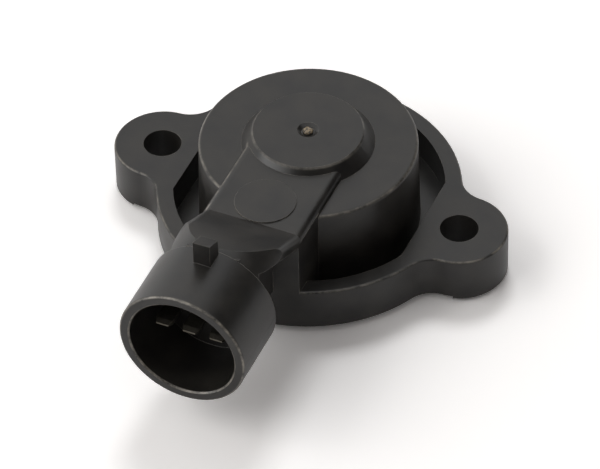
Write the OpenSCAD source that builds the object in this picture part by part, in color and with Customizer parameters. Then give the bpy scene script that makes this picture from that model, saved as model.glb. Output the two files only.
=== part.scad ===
// Throttle position sensor with a side connector and two screw ears.
// Origin: on the rotor axis, in the plane of the ear feet. +Z points to the cap, the connector points to -Y.

/* [Flange and ears] */
// Radius of the round flange
flange_r = 25.1; // [24.4:0.1:25.4]
// Height of the flange's upper face above the feet
flange_top = 8.1; // [7.6:0.1:8.6]
// Height of the feet under the ears
foot_h = 0.5; // [0.3:0.1:0.8]
// Distance from the screw's axis to the inner edge of a foot
foot_inset = 2.1; // [1:0.1:3]
// Distance between the two screw holes
hole_spacing = 53; // [52:0.5:55]
// Diameter of a screw hole
hole_d = 6.3; // [5.5:0.1:6.6]
// Radius of an ear
ear_r = 8; // [7.2:0.1:8.4]
// Radius of the hollow blend between an ear and the flange
ear_blend_r = 5; // [4:0.5:8]
// Rounding of the flange's upper edge
flange_edge_r = 0.4; // [0.2:0.05:0.6]

/* [Moat] */
// Outer radius of the moat round the cap
moat_r = 22.3; // [21.8:0.1:22.8]
// Distance from the axis to the flat side of the moat at each ear
moat_flat = 20.3; // [19.6:0.1:21]
// Thickness of the flange under the moat
moat_floor_t = 1.8; // [1.6:0.1:2.4]

/* [Cap] */
// Height of the cap's top above the feet
cap_top = 18; // [17.8:0.1:18.6]
// Radius of the cap at its top
cap_r = 17.9; // [17.6:0.1:18.2]
// How much wider the cap is at the moat floor, from its draft
cap_draft = 0.3; // [0:0.05:0.5]
// Rounding of the cap's rim
cap_edge_r = 0.6; // [0.3:0.1:0.9]
// Height of the raised disc's top above the feet
disc_top = 20.5; // [20.2:0.1:21]
// Radius of the raised disc at its top
disc_r = 9.2; // [8.8:0.1:9.4]
// Radius of the raised disc's sloped skirt at the cap
disc_foot_r = 10.9; // [10.6:0.1:11.4]
// Rounding of the raised disc's upper edge
disc_edge_r = 0.25; // [0.1:0.05:0.4]
// Radius of the gate dimple in the disc
gate_r = 1.8; // [1.5:0.1:2.2]
// Radius of the gate dimple's floor
gate_floor_r = 1.1; // [0.8:0.1:1.3]
// Depth of the gate dimple
gate_depth = 0.5; // [0.3:0.05:0.7]
// Radius of the gate's remaining pip at its foot
gate_pip_r = 0.7; // [0.5:0.05:0.8]
// Radius of the pip's broken end
gate_pip_end_r = 0.4; // [0.3:0.05:0.45]

/* [Arm] */
// Width of the arm that carries the terminals
arm_w = 17.2; // [16:0.2:17.6]
// Height of the arm's top above the feet
arm_top = 19.4; // [19:0.1:19.8]
// Rounding of the arm's upper edges
arm_edge_r = 1.4; // [0.8:0.1:1.8]
// Distance from the axis to the line where the arm begins to rise
arm_bend = 22.1; // [22:0.1:23]
// Thickness of the rising roof behind the connector
roof_t = 1.8; // [1.6:0.1:2.4]
// Size of the gusset under the roof, against the tube
gusset = 2; // [1.6:0.1:2.6]
// Distance from the axis to the centre of the round ejector mark
mark_pos = 17; // [16.4:0.1:17]
// Radius of the ejector mark
mark_r = 5; // [4:0.1:5.1]
// Height of the ejector mark
mark_h = 0.18; // [0.1:0.02:0.3]
// Width of the web under the roof
web_w = 9; // [8:0.2:10]

/* [Connector] */
// Outer diameter of the connector tube
shroud_d = 21.5; // [21:0.1:22]
// Inner diameter of the connector tube
socket_d = 18; // [17:0.1:18.4]
// Height of the tube's axis above the feet
shroud_z = 16.1; // [15.9:0.1:16.6]
// Distance from the rotor axis to the mouth of the tube
mouth_pos = 49.5; // [48:0.5:52]
// Distance from the rotor axis to the rear of the tube
shroud_rear = 37.1; // [36.5:0.1:38]
// Thickness of the tube's rear wall
shroud_back_t = 1.6; // [1.2:0.1:2.2]
// Rounding of the tube's rear edge
shroud_edge_r = 0.25; // [0.1:0.05:0.35]
// Rounding of the tube's rim
rim_r = 0.45; // [0.3:0.05:0.8]
// Chamfer inside the tube's mouth
mouth_chamfer = 0.25; // [0.1:0.05:0.5]
// How far the neck lies inside the tube's outline
neck_step = 0.35; // [0.2:0.05:0.6]
// Width of the latch tab
tab_w = 2.9; // [2.4:0.1:3.4]
// Distance from the mouth to the tab's front face
tab_pos = 8.6; // [8:0.1:9]
// Length of the latch tab
tab_l = 3.1; // [2.6:0.1:3.4]
// Height of the tab's front face above the tube
tab_h = 4.25; // [3:0.05:4.6]
// How much the tab's top falls towards its rear
tab_fall = 1.3; // [0.8:0.1:1.6]

/* [Terminals] */
// Width of a terminal blade
blade_w = 2.8; // [2.2:0.1:3]
// Thickness of a terminal
blade_t = 0.8; // [0.6:0.1:0.9]
// Distance between two blades
blade_pitch = 4.6; // [4:0.1:4.8]
// Height of the terminals above the tube's axis
blade_rise = 1.05; // [0.8:0.05:1.2]
// Distance from the mouth to the blade tips
blade_recess = 3; // [1.5:0.1:4]
// Length of the bevel at a blade's tip
blade_tip = 0.9; // [0.6:0.1:1.4]
// Bevel on each side of a blade's tip
tip_side = 0.35; // [0.2:0.05:0.5]
// Bevel on each face of a blade's tip
tip_face = 0.25; // [0.1:0.05:0.28]
// Width of a terminal inside the arm
strip_w = 1.6; // [1.2:0.1:1.7]
// Distance between two terminals inside the arm
strip_pitch = 2.7; // [2.6:0.05:2.8]
// Length of the step between a blade and its strip
step_l = 0.9; // [0.7:0.05:1]
// Plastic behind the step, inside the tube's rear wall
step_cover = 0.3; // [0.2:0.05:0.4]
// How far a leg reaches through the element board
leg_out = 0.5; // [0.3:0.1:0.6]
// Height of a solder joint under its pad
solder_h = 0.7; // [0.6:0.05:0.8]
// Radius of a solder joint at its pad
solder_r = 1.15; // [1.05:0.05:1.2]
// Radius of a solder joint at its lower end
solder_tip_r = 0.95; // [0.92:0.02:1]

/* [Chamber] */
// Thickness of the cap's wall round the rotor chamber
cap_wall = 2.5; // [2.4:0.05:2.7]
// Thickness of the cap's roof over the rotor chamber
cap_roof_t = 3.1; // [3:0.05:3.2]
// Width of the ledge that the rear cover seats on
cover_ledge_w = 0.8; // [0.6:0.05:0.9]
// Depth of the recess for the rear cover
cover_seat_depth = 2; // [1.9:0.05:2.1]
// Thickness of the rear cover
cover_t = 1.6; // [1.5:0.05:1.7]
// Gap round the rear cover
cover_gap = 0.05; // [0.02:0.01:0.1]
// Radius of the collar inside the rear cover
collar_r = 9.1; // [9:0.05:9.3]
// Height of the collar inside the rear cover
collar_h = 1.8; // [1.6:0.05:1.9]
// Width of the land between the rear cover's recess and the mounting seal's groove
seal_land_w = 0.8; // [0.7:0.05:1]
// Width of the mounting seal's groove
seal_groove_w = 1.2; // [1.1:0.05:1.3]
// Depth of the mounting seal's groove
seal_groove_depth = 1.1; // [1:0.05:1.2]
// Gap at the sides of a seal
seal_gap = 0.05; // [0.02:0.01:0.08]
// Width of the rotor seal's pocket in the collar
seal_pocket_w = 1.2; // [1:0.05:1.3]
// Height of the pocket's floor above the cover's inner face
seal_pocket_rise = 0.2; // [0.1:0.05:0.4]
// Thickness of the rear cover under the spring's lower tang
tang_floor_t = 0.4; // [0.3:0.05:0.6]

/* [Rotor] */
// Radius of the rotor's journal in the rear cover
journal_r = 7.2; // [7.1:0.05:7.3]
// Running clearance of the rotor's journals
running_gap = 0.05; // [0.03:0.01:0.08]
// Thickness of the rotor's disc
rotor_disc_t = 1.6; // [1.4:0.05:1.7]
// Space between the rotor's disc and the tracks, for the wiper
wiper_space = 3.2; // [3:0.05:3.3]
// Radius of the rotor's shoulder over the cover's collar
shoulder_r = 9; // [8.8:0.05:9.1]
// Thickness of the rotor's shoulder
shoulder_t = 0.8; // [0.6:0.05:0.9]
// End play of the rotor over the cover's collar
end_play = 0.1; // [0.08:0.01:0.15]
// Radius of the rotor's upper spigot
spigot_r = 2.6; // [2.4:0.05:2.8]
// Length of the spigot inside the bearing bore
spigot_l = 2.4; // [2:0.1:2.5]
// Radius of the bearing boss
boss_r = 4.4; // [4.3:0.05:4.5]
// Length of the bearing boss under the ceiling
boss_l = 1.3; // [1.2:0.05:1.35]
// Free depth of the bearing bore over the spigot's end
bore_relief = 0.2; // [0.1:0.05:0.4]
// Space between the boss and the rotor for the wave washer
washer_space = 0.6; // [0.55:0.05:0.7]
// Thickness of the wave washer's sheet
washer_t = 0.2; // [0.15:0.05:0.3]
// Gap between the wave washer and the faces over and under it
washer_play = 0.03; // [0.02:0.01:0.05]
// Gap between the wave washer and the spigot, and between its edge and the boss's edge
washer_side_gap = 0.15; // [0.1:0.05:0.25]
// Radius of the round part of the drive socket
drive_r = 4.6; // [4.2:0.1:4.8]
// Distance across the drive socket's flats
drive_flats = 5.2; // [4.8:0.1:5.6]
// Depth of the drive socket
drive_depth = 7; // [6:0.1:7.4]
// Turning range of the rotor in degrees
travel = 100; // [80:1:110]
// Angle of the wiper at rest in degrees
wiper_rest = 40; // [35:1:45]
// Angle that the stop lug takes in degrees
lug_angle = 20; // [16:1:24]
// Angle left free at each stop in degrees
stop_gap_angle = 1; // [0.8:0.1:2]
// Gap between the rotor's disc and the stop rib
stop_gap = 0.4; // [0.3:0.05:0.5]
// Width of the stop rib inside the chamber's wall
rib_w = 1.2; // [1:0.05:1.4]

/* [Element] */
// Thickness of the element board
board_t = 0.8; // [0.7:0.05:0.85]
// Gap round the element board
board_gap = 0.1; // [0.05:0.01:0.15]
// Distance from the chamber's wall to the terminals' legs
leg_inset = 4; // [3.6:0.1:4.4]
// Thickness of the printed layers
print_t = 0.1; // [0.08:0.01:0.12]
// Distance from the edge of the rotor's disc to the middle of the resistive track
track_inset = 2.2; // [2:0.05:2.3]
// Width of the resistive track
track_w = 2; // [1.8:0.1:2.2]
// Distance between the middles of the two tracks
track_spacing = 4.1; // [4:0.05:4.2]
// Width of the collector track
collector_w = 1.8; // [1.6:0.1:2]
// Width of a printed lead
lead_w = 0.8; // [0.6:0.05:0.9]
// Angle of overtravel at each end of a track in degrees
track_margin = 22; // [18:1:24]

/* [Wiper and spring] */
// Thickness of the wiper's sheet
wiper_t = 0.25; // [0.2:0.01:0.3]
// Width of one wiper finger
finger_w = 0.4; // [0.3:0.05:0.45]
// Distance between two fingers of a group
finger_pitch = 0.6; // [0.55:0.01:0.65]
// Length of a finger, from its contact to the wiper's base plate
finger_run = 4.4; // [4:0.1:4.6]
// Length of a finger's flat contact
contact_l = 0.5; // [0.3:0.05:0.7]
// Gap between a finger's tip and its track
contact_gap = 0.12; // [0.1:0.01:0.15]
// Length of the wiper's base plate behind the fingers
plate_l = 2.8; // [2.6:0.1:3]
// Width of the base plate beside each track's middle
plate_side = 1.2; // [1.1:0.05:1.3]
// Radius of a rotor stake that holds the wiper
stake_r = 0.7; // [0.6:0.05:0.8]
// Height of a stake over the wiper
stake_h = 0.3; // [0.2:0.05:0.5]
// Distance of the outer stake inside the middle of its track
stake_inset = 0.6; // [0.4:0.05:0.8]
// Gap round a stake
stake_gap = 0.05; // [0.02:0.01:0.1]
// Diameter of the return spring's wire
wire_d = 0.9; // [0.8:0.05:0.9]
// Gap between the collar and the return spring
coil_side_gap = 1.05; // [0.8:0.05:1.2]
// Number of turns of the return spring
coil_turns = 4; // [3:0.5:4.5]
// Radial gap round a tang of the return spring
tang_gap = 0.15; // [0.1:0.01:0.2]
// Gap at the end of a tang
tang_end_gap = 0.2; // [0.1:0.05:0.3]
// Gap between the spring's end turns and the faces over and under them
coil_gap = 0.2; // [0.1:0.05:0.3]

/* [Hidden] */
$fn = 96;
// Overlap of two shapes that are one solid, and reach of a cut past a face
eps = 0.01;
past = 1;

black = [0.12, 0.12, 0.12];
board_green = [0.30, 0.38, 0.30];
rubber = [0.20, 0.20, 0.21];
tin = [0.75, 0.75, 0.72];
carbon = [0.16, 0.16, 0.18];
silver_print = [0.70, 0.70, 0.68];
amber = [0.82, 0.74, 0.58];
spring_steel = [0.55, 0.56, 0.58];
contact_bronze = [0.72, 0.56, 0.36];

ear_x = hole_spacing / 2;
moat_floor = foot_h + moat_floor_t;
cap_foot_r = cap_r + cap_draft;
chamber_r = cap_r - cap_wall;
ceiling_z = cap_top - cap_roof_t;
cover_seat_r = chamber_r + cover_ledge_w;
seal_groove_r = cover_seat_r + seal_land_w;
shroud_r = shroud_d / 2;
socket_r = socket_d / 2;
shroud_top = shroud_z + shroud_r;
roof_slope = atan((shroud_top - arm_top) / (shroud_rear - arm_bend));
neck_r = shroud_r - neck_step;
// Centre of the hollow blend, which runs a hair into the flange and the ear so that it meets both
blend_bite = 0.005;
to_flange = flange_r + ear_blend_r - blend_bite;
to_ear = ear_r + ear_blend_r - blend_bite;
blend_x = (pow(ear_x, 2) + pow(to_flange, 2) - pow(to_ear, 2)) / (2 * ear_x);
blend_y = sqrt(pow(to_flange, 2) - pow(blend_x, 2));

cover_top = foot_h + cover_seat_depth;
cover_bottom = cover_top - cover_t;
cover_r = cover_seat_r - cover_gap;
collar_top = cover_top + collar_h;
seal_pocket_r = journal_r + seal_pocket_w;
seal_pocket_z = cover_top + seal_pocket_rise;

board_bottom = ceiling_z - board_t;
print_bottom = board_bottom - print_t;
board_r = chamber_r - board_gap;
boss_bottom = ceiling_z - boss_l;
rotor_top = boss_bottom - washer_space;
rotor_disc_r = chamber_r - rib_w - stop_gap;
rotor_disc_top = print_bottom - wiper_space;
track_r = rotor_disc_r - track_inset;
collector_r = track_r - track_spacing;
leg_pos = chamber_r - leg_inset;
shoulder_z = collar_top + end_play;
rotor_disc_bottom = rotor_disc_top - rotor_disc_t;
spigot_top = ceiling_z + spigot_l;
bearing_top = spigot_top + end_play + bore_relief;

blade_z = shroud_z + blade_rise;
tip_pos = mouth_pos - blade_recess;
leg_bottom = print_bottom - leg_out;
leg_r = norm([leg_pos, strip_pitch]);
leg_turn = atan(strip_pitch / leg_pos);

track_start = wiper_rest - track_margin;
track_end = wiper_rest + travel + track_margin;
lug_start = wiper_rest - lug_angle / 2;
free_angle = travel + lug_angle + 2 * stop_gap_angle;

coil_r = collar_r + coil_side_gap + wire_d / 2;
coil_bottom = cover_top + wire_d / 2 + coil_gap;
coil_top = rotor_disc_bottom - wire_d / 2 - coil_gap;
tang_angle = -60;
top_tang_angle = tang_angle + 360 * coil_turns;
tang_hole_r = wire_d / 2 + tang_gap;
// Height of the bend into a tang, as a share of the wire
bend_share = 0.4;
spring_steps = 28;
wire_sides = 8;
waves = 3;
washer_steps = 60;

// General shapes
module ring(inner, outer, z0, z1) {
    translate([0, 0, z0])
        difference() {
            cylinder(h = z1 - z0, r = outer);
            translate([0, 0, -past]) cylinder(h = z1 - z0 + 2 * past, r = inner);
        }
}

module sector(inner, outer, z0, z1, from, to) {
    translate([0, 0, z0])
        rotate([0, 0, from])
            rotate_extrude(angle = to - from)
                translate([inner, 0]) square([outer - inner, z1 - z0]);
}

// A solid of revolution round the connector's axis, whose profile runs from the rotor axis outwards
module about_tube_axis() {
    translate([0, 0, shroud_z]) rotate([90, 0, 0]) rotate_extrude() children();
}

module both_sides() {
    children();
    mirror([1, 0, 0]) children();
}

// Flange with two ears
module rounded_disc(r, z0, z1, e) {
    rotate_extrude() {
        translate([0, z0]) square([r, z1 - z0 - e]);
        translate([0, z0]) square([r - e, z1 - z0]);
        translate([r - e, z1 - e]) circle(r = e);
    }
}

// Cutter for the hollow blend: it flares at the top by the same rounding as the flange's edge
module blend_cutter() {
    e = flange_edge_r;
    translate([blend_x, blend_y, 0])
        rotate_extrude()
            difference() {
                square([ear_blend_r + e, flange_top + past]);
                translate([ear_blend_r, -past]) square([e + past, flange_top - e + past]);
                translate([ear_blend_r + e, flange_top - e]) circle(r = e);
            }
}

module ear_web() {
    difference() {
        translate([0, 0, foot_h])
            linear_extrude(flange_top - foot_h)
                polygon([[0, 0], [blend_x, -blend_y], [ear_x, 0], [blend_x, blend_y]]);
        blend_cutter();
        mirror([0, 1, 0]) blend_cutter();
    }
}

module ear_foot() {
    intersection() {
        translate([ear_x, 0, 0]) cylinder(h = foot_h + eps, r = ear_r);
        translate([ear_x + foot_inset, -ear_r, 0]) cube([ear_r, 2 * ear_r, foot_h + eps]);
    }
}

module moat() {
    intersection() {
        translate([0, 0, moat_floor]) cylinder(h = flange_top - moat_floor + past, r = moat_r);
        translate([-moat_flat, -moat_r, moat_floor])
            cube([2 * moat_flat, 2 * moat_r, flange_top - moat_floor + past]);
    }
}

module flange() {
    difference() {
        union() {
            rounded_disc(flange_r, foot_h, flange_top, flange_edge_r);
            both_sides() {
                translate([ear_x, 0, 0]) rounded_disc(ear_r, foot_h, flange_top, flange_edge_r);
                ear_web();
                ear_foot();
            }
        }
        moat();
    }
}

// Cap with its raised disc and gate dimple
module cap() {
    e = cap_edge_r;
    rotate_extrude() {
        polygon([
            [0, moat_floor - eps], [cap_foot_r, moat_floor - eps], [cap_r, cap_top - e],
            [cap_r - e, cap_top], [0, cap_top]
        ]);
        translate([cap_r - e, cap_top - e]) circle(r = e);
    }
}

module raised_disc() {
    e = disc_edge_r;
    difference() {
        rotate_extrude()
            polygon([
                [0, cap_top - past], [disc_foot_r, cap_top - past], [disc_foot_r, cap_top],
                [disc_r, disc_top - e], [disc_r - e, disc_top], [0, disc_top]
            ]);
        translate([0, 0, disc_top - gate_depth])
            cylinder(h = gate_depth + eps, r1 = gate_floor_r, r2 = gate_r);
    }
    translate([0, 0, disc_top - gate_depth - eps])
        cylinder(h = gate_depth + eps, r1 = gate_pip_r, r2 = gate_pip_end_r);
}

// Arm: a flat bar with rounded upper edges that rises to the connector
module arm_section(depth) {
    half = arm_w / 2;
    e = arm_edge_r;
    translate([-half, -depth]) square([arm_w, depth - e]);
    translate([-half + e, -depth]) square([arm_w - 2 * e, depth]);
    for (side = [-1, 1]) translate([side * (half - e), -e]) circle(r = e);
}

// Space on one side of the mitre between the flat arm and the rising neck
module mitre_side(side) {
    translate([0, -arm_bend, arm_top])
        rotate([90 - roof_slope / 2, 0, 0])
            translate([-arm_w, -mouth_pos, side > 0 ? 0 : -mouth_pos])
                cube([2 * arm_w, 2 * mouth_pos, mouth_pos]);
}

module arm() {
    inner = sqrt(pow(disc_r, 2) - pow(arm_w / 2, 2));
    intersection() {
        translate([0, -inner, arm_top])
            rotate([90, 0, 0])
                linear_extrude(arm_bend - inner + arm_edge_r) arm_section(arm_top - cap_top + past);
        mitre_side(-1);
    }
    translate([0, -mark_pos, arm_top - eps]) cylinder(h = mark_h + eps, r = mark_r);
}

// Block that carries the arm over the moat
module support_block() {
    low = moat_floor - eps;
    height = arm_top - roof_t / 2 - low;
    intersection() {
        translate([0, 0, low]) cylinder(h = height, r = flange_r);
        translate([-arm_w / 2, -flange_r - past, low]) cube([arm_w, flange_r + past - chamber_r, height]);
    }
}

// Roof and web between the block and the connector tube
module neck() {
    run = (shroud_rear - arm_bend) / cos(roof_slope) + past;
    under = shroud_top - roof_t / cos(roof_slope);
    intersection() {
        union() {
            intersection() {
                translate([0, -arm_bend, arm_top])
                    rotate([90 - roof_slope, 0, 0])
                        translate([0, 0, -roof_t]) linear_extrude(run + roof_t) arm_section(roof_t);
                mitre_side(1);
            }
            translate([-arm_w / 2, 0, 0])
                rotate([90, 0, 90])
                    linear_extrude(arm_w)
                        polygon([
                            [-shroud_rear - past, under - gusset], [-shroud_rear, under - gusset],
                            [-shroud_rear + gusset, under - gusset * tan(roof_slope)],
                            [-shroud_rear + gusset, under - gusset * tan(roof_slope) + roof_t / 2],
                            [-shroud_rear - past, under + roof_t / 2]
                        ]);
        }
        translate([0, -arm_bend + past, shroud_z])
            rotate([90, 0, 0]) cylinder(h = shroud_rear - arm_bend + past + eps, r = neck_r);
    }
    web_end = shroud_rear + eps;
    roof_low = roof_t / 2;
    translate([-web_w / 2, 0, 0])
        rotate([90, 0, 90])
            linear_extrude(web_w)
                polygon([
                    [-web_end, flange_top], [-arm_bend, flange_top],
                    [-arm_bend, arm_top - roof_low], [-web_end, shroud_top - roof_low]
                ]);
}

module shroud() {
    e = rim_r;
    b = shroud_edge_r;
    about_tube_axis() {
        translate([0, shroud_rear + b]) square([shroud_r, mouth_pos - shroud_rear - e - b]);
        translate([0, shroud_rear]) square([shroud_r - e, mouth_pos - shroud_rear]);
        translate([0, shroud_rear]) square([shroud_r - b, mouth_pos - shroud_rear - e]);
        translate([shroud_r - e, mouth_pos - e]) circle(r = e);
        translate([shroud_r - b, shroud_rear + b]) circle(r = b);
    }
}

module latch_tab() {
    front = mouth_pos - tab_pos;
    rear = front - tab_l;
    top = shroud_top + tab_h;
    translate([-tab_w / 2, 0, 0])
        rotate([90, 0, 90])
            linear_extrude(tab_w)
                polygon([
                    [-front, shroud_top - past], [-front, top],
                    [-rear, top - tab_fall], [-rear, shroud_top - past]
                ]);
}

// Openings in the housing
module socket_bore() {
    c = mouth_chamfer;
    about_tube_axis()
        polygon([
            [0, shroud_rear + shroud_back_t], [socket_r, shroud_rear + shroud_back_t],
            [socket_r, mouth_pos - c], [socket_r + c, mouth_pos], [socket_r + c, mouth_pos + past],
            [0, mouth_pos + past]
        ]);
}

module chamber() {
    difference() {
        translate([0, 0, foot_h - past]) cylinder(h = ceiling_z - foot_h + past, r = chamber_r);
        translate([0, 0, boss_bottom]) cylinder(h = boss_l + past, r = boss_r);
        stop_rib();
    }
    translate([0, 0, foot_h - past]) cylinder(h = cover_seat_depth + past, r = cover_seat_r);
    translate([0, 0, boss_bottom - past])
        cylinder(h = bearing_top - boss_bottom + past, r = spigot_r + running_gap);
}

// Rib inside the chamber's wall that stops the rotor's lug at both ends of its travel
module stop_rib() {
    rib_from = lug_start - stop_gap_angle + free_angle;
    sector(rotor_disc_r + stop_gap, chamber_r + past, rotor_disc_bottom, ceiling_z - board_t,
        rib_from, rib_from + 360 - free_angle);
}

module housing() {
    color(black)
        difference() {
            union() {
                flange();
                cap();
                raised_disc();
                arm();
                support_block();
                neck();
                shroud();
                latch_tab();
            }
            both_sides() translate([ear_x, 0, -past]) cylinder(h = flange_top + 2 * past, r = hole_d / 2);
            socket_bore();
            chamber();
            ring(seal_groove_r, seal_groove_r + seal_groove_w, foot_h - past, foot_h + seal_groove_depth);
            for (place = [-1, 0, 1]) terminal_shape(place);
        }
}

// Rear cover with its collar, and the two seals
module rear_cover() {
    color(black)
        difference() {
            union() {
                translate([0, 0, cover_bottom]) cylinder(h = cover_t, r = cover_r);
                translate([0, 0, cover_bottom]) cylinder(h = cover_t + collar_h, r = collar_r);
            }
            translate([0, 0, -past]) cylinder(h = collar_top + 2 * past, r = journal_r + running_gap);
            translate([0, 0, seal_pocket_z]) cylinder(h = collar_h + past, r = seal_pocket_r);
            spring_tang_hole(tang_angle, cover_bottom + tang_floor_t, cover_top + past);
        }
}

// Drawn as it lies when it is pressed flush with the feet
module mounting_seal() {
    color(rubber)
        ring(seal_groove_r + seal_gap, seal_groove_r + seal_groove_w - seal_gap, 0, foot_h + seal_groove_depth);
}

module rotor_seal() {
    color(rubber)
        ring(journal_r + running_gap, seal_pocket_r - seal_gap, seal_pocket_z, collar_top - end_play);
}

// Element board with its printed tracks and leads
module leg_slots(z0, z1) {
    for (place = [-1, 0, 1]) leg_box(place, z0, z1);
}

module leg_box(place, z0, z1) {
    translate([place * strip_pitch - strip_w / 2, -leg_pos - blade_t / 2, z0])
        cube([strip_w, blade_t, z1 - z0]);
}

module element_board() {
    color(board_green)
        difference() {
            ring(boss_r + board_gap, board_r, board_bottom, ceiling_z);
            leg_slots(board_bottom - past, ceiling_z + past);
        }
}

module resistive_track() {
    color(carbon)
        sector(track_r - track_w / 2, track_r + track_w / 2, print_bottom, board_bottom,
            track_start, track_end);
}

module collector_track() {
    color(silver_print)
        sector(collector_r - collector_w / 2, collector_r + collector_w / 2, print_bottom, board_bottom,
            track_start, track_end);
}

module pad(place) {
    translate([place * strip_pitch, -leg_pos, print_bottom]) cylinder(h = print_t, r = solder_r);
}

// A lead from one end of the resistive track to an outer pad
module outer_lead(place, from, to) {
    color(silver_print)
        difference() {
            union() {
                sector(leg_r - lead_w / 2, leg_r + lead_w / 2, print_bottom, board_bottom, from, to);
                pad(place);
            }
            leg_slots(print_bottom - past, board_bottom + past);
        }
}

module supply_lead() {
    outer_lead(-1, track_end, 270 - leg_turn);
}

module ground_lead() {
    outer_lead(1, leg_turn - 90, track_start);
}

module signal_lead() {
    color(silver_print)
        difference() {
            union() {
                sector(collector_r - lead_w / 2, collector_r + lead_w / 2, print_bottom, board_bottom,
                    track_end, 270);
                translate([-lead_w / 2, -leg_pos, print_bottom])
                    cube([lead_w, leg_pos - collector_r, print_t]);
                pad(0);
            }
            leg_slots(print_bottom - past, board_bottom + past);
        }
}

// Terminals: a blade in the socket, a step in the tube's rear wall, a narrower strip inside the arm
// and a leg through the board
module terminal_shape(place) {
    step_pos = shroud_rear + step_cover;
    translate([0, -step_pos, blade_z])
        linear_extrude(blade_t, center = true) {
            translate([place * blade_pitch - blade_w / 2, step_pos - tip_pos])
                square([blade_w, tip_pos - step_pos]);
            translate([place * strip_pitch - strip_w / 2, -step_l])
                square([strip_w, step_l + step_pos - leg_pos + blade_t / 2]);
            translate([place * (blade_pitch + strip_pitch) / 2, -step_l / 2])
                square([abs(place) * (blade_pitch - strip_pitch) + strip_w, step_l], center = true);
        }
    leg_box(place, leg_bottom, blade_z + blade_t / 2);
}

// Cuts the four bevels at a blade's tip
module tip_bevels(place) {
    side = blade_w / 2;
    face = blade_t / 2;
    for (turn = [0, 180])
        translate([place * blade_pitch, -tip_pos, blade_z]) rotate([0, turn, 0]) {
            linear_extrude(blade_t + past, center = true)
                polygon([[side - tip_side, -past], [side - tip_side, 0],
                    [side, blade_tip], [side + past, blade_tip], [side + past, -past]]);
            rotate([90, 0, 90])
                linear_extrude(blade_w + past, center = true)
                    polygon([[-past, face - tip_face], [0, face - tip_face],
                        [blade_tip, face], [blade_tip, face + past], [-past, face + past]]);
        }
}

module terminal(place) {
    color(tin)
        difference() {
            terminal_shape(place);
            tip_bevels(place);
        }
}

module supply_terminal() {
    terminal(-1);
}

module signal_terminal() {
    terminal(0);
}

module ground_terminal() {
    terminal(1);
}

module solder_joint(place) {
    color(tin)
        difference() {
            translate([place * strip_pitch, -leg_pos, print_bottom - solder_h])
                cylinder(h = solder_h, r1 = solder_tip_r, r2 = solder_r);
            leg_slots(leg_bottom, print_bottom + past);
        }
}

module supply_solder() {
    solder_joint(-1);
}

module signal_solder() {
    solder_joint(0);
}

module ground_solder() {
    solder_joint(1);
}

// Rotor with its drive socket, wiper stakes and stop lug
module wiper_stakes(z0, z1, r) {
    rotate([0, 0, wiper_rest])
        for (x = [collector_r, track_r - stake_inset])
            translate([x, finger_run + plate_l / 2, z0]) cylinder(h = z1 - z0, r = r);
}

module rotor() {
    color(amber)
        difference() {
            union() {
                translate([0, 0, cover_bottom]) cylinder(h = rotor_top - cover_bottom, r = boss_r);
                translate([0, 0, cover_bottom]) cylinder(h = rotor_disc_top - cover_bottom, r = journal_r);
                translate([0, 0, shoulder_z]) cylinder(h = shoulder_t, r = shoulder_r);
                translate([0, 0, rotor_disc_bottom]) cylinder(h = rotor_disc_t, r = rotor_disc_r);
                translate([0, 0, rotor_top - eps]) cylinder(h = spigot_top - rotor_top + eps, r = spigot_r);
                sector(rotor_disc_r - past, chamber_r - stop_gap, rotor_disc_bottom, rotor_disc_top,
                    lug_start, lug_start + lug_angle);
                wiper_stakes(rotor_disc_top - eps, rotor_disc_top + wiper_t + stake_h, stake_r);
            }
            intersection() {
                translate([0, 0, cover_bottom - past]) cylinder(h = drive_depth + past, r = drive_r);
                translate([-drive_flats / 2, -drive_r, cover_bottom - past])
                    cube([drive_flats, 2 * drive_r, drive_depth + past]);
            }
            spring_tang_hole(top_tang_angle, rotor_disc_bottom - past, rotor_disc_top + past);
        }
}

// Wiper: one stamped sheet with a base plate and two groups of sprung fingers
module finger(radius) {
    low = rotor_disc_top;
    high = print_bottom - contact_gap;
    half = contact_l / 2;
    slope = atan((high - wiper_t - low) / (finger_run - half));
    bend = wiper_t * tan(slope / 2);
    translate([radius - finger_w / 2, 0, 0])
        rotate([90, 0, 90])
            linear_extrude(finger_w)
                polygon([
                    [-half, high - wiper_t], [half, high - wiper_t], [finger_run, low],
                    [finger_run + bend, low], [finger_run + bend, low + wiper_t],
                    [half + bend, high], [-half, high]
                ]);
}

module wiper() {
    inner = collector_r - plate_side;
    outer = track_r + plate_side;
    color(contact_bronze)
        difference() {
            rotate([0, 0, wiper_rest]) {
                translate([0, 0, rotor_disc_top])
                    linear_extrude(wiper_t)
                        polygon([
                            [inner, finger_run], [outer, finger_run], [outer - plate_side, finger_run + plate_l],
                            [inner, finger_run + plate_l]
                        ]);
                for (radius = [collector_r, track_r], place = [-1, 0, 1]) finger(radius + place * finger_pitch);
            }
            wiper_stakes(rotor_disc_top - past, rotor_disc_top + past, stake_r + stake_gap);
        }
}

// Return spring: round wire, with an axial tang at each end
module spring_tang_hole(angle, z0, z1) {
    rotate([0, 0, angle]) translate([coil_r, 0, z0]) cylinder(h = z1 - z0, r = tang_hole_r, $fn = 32);
}

function coil_point(turn) = [
    coil_r * cos(tang_angle + 360 * turn),
    coil_r * sin(tang_angle + 360 * turn),
    coil_bottom + (coil_top - coil_bottom) * turn / coil_turns
];

// Ring of points round the wire, across the coil
function coil_ring(turn) = [
    for (side = [0 : wire_sides - 1])
        let (around = 360 * side / wire_sides, a = tang_angle + 360 * turn)
            coil_point(turn) + wire_d / 2 * [cos(around) * cos(a), cos(around) * sin(a), sin(around)]
];

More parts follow.
